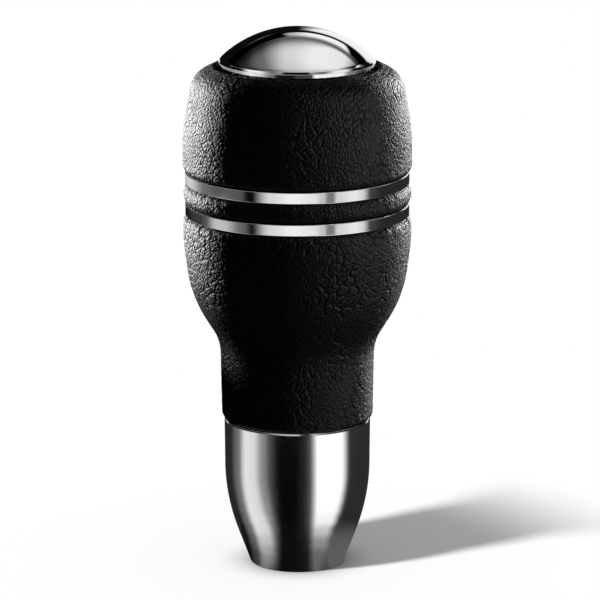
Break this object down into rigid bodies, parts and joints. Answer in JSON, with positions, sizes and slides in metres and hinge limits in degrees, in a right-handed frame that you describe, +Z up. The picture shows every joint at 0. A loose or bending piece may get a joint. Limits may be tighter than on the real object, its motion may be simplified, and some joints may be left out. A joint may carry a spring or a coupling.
{
  "type": "gear shift knob",
  "caption": "Gear shift knob: leather wraps and plated rings on a keyed spindle, a domed metal cap, and a screw-on collar over the lever socket and its set screws.",
  "frame": {"origin": "centre of the collar's foot, on the surface that the knob stands on", "axes": "+Z up along the spindle towards the domed cap; +X to the right and -Y towards the viewer of the picture"},
  "size_m": [0.0478, 0.0478, 0.1144],
  "materials": {
    "satin_aluminium": "satin, turned",
    "seal_rubber": "matte",
    "bare_steel": "turned",
    "bush_nylon": "moulded",
    "black_oxide_steel": "black oxide",
    "moulding_plastic": "moulded",
    "black_leather": "pebbled grain, padded",
    "polished_chrome": "polished plating",
    "zinc_plated_steel": "zinc plated"
  },
  "bodies": {
    "knob": {"spindle": "bare_steel", "lever_bush": "bush_nylon", "lower_grip": "moulding_plastic", "lower_leather": "black_leather", "lower_ring": "polished_chrome", "middle_spool": "moulding_plastic", "middle_leather": "black_leather", "upper_ring": "polished_chrome", "upper_grip": "moulding_plastic", "upper_leather": "black_leather", "flat_washer": "zinc_plated_steel", "spring_washer": "zinc_plated_steel", "clamp_nut": "zinc_plated_steel", "cap_stud": "zinc_plated_steel", "cap_dome": "polished_chrome"},
    "collar_seal": {"collar_o_ring": "seal_rubber"},
    "screw_collar": {"collar": "satin_aluminium"},
    "front_set_screw": {"set_screw_1": "black_oxide_steel"},
    "right_set_screw": {"set_screw_2": "black_oxide_steel"},
    "left_set_screw": {"set_screw_3": "black_oxide_steel"}
  },
  "joints": [
    {"name": "collar_travel", "type": "slide", "parent": "knob", "child": "collar_seal", "axis": [0, 0, -1], "range_m": [0, 0.0068]},
    {"name": "collar_turn", "type": "hinge", "parent": "collar_seal", "child": "screw_collar", "pos_m": [0, 0, 0], "axis": [0, 0, -1], "range_deg": [0, 1620]},
    {"name": "front_screw_travel", "type": "slide", "parent": "knob", "child": "front_set_screw", "axis": [0, 1, 0], "range_m": [0, 0.0014]},
    {"name": "right_screw_travel", "type": "slide", "parent": "knob", "child": "right_set_screw", "axis": [-0.866, -0.5, 0], "range_m": [0, 0.0014]},
    {"name": "left_screw_travel", "type": "slide", "parent": "knob", "child": "left_set_screw", "axis": [0.866, -0.5, 0], "range_m": [0, 0.0014]}
  ],
  "couplings": [
    {"joint": "collar_travel", "follows": "collar_turn", "m_per_rad": 0.00023873}
  ]
}
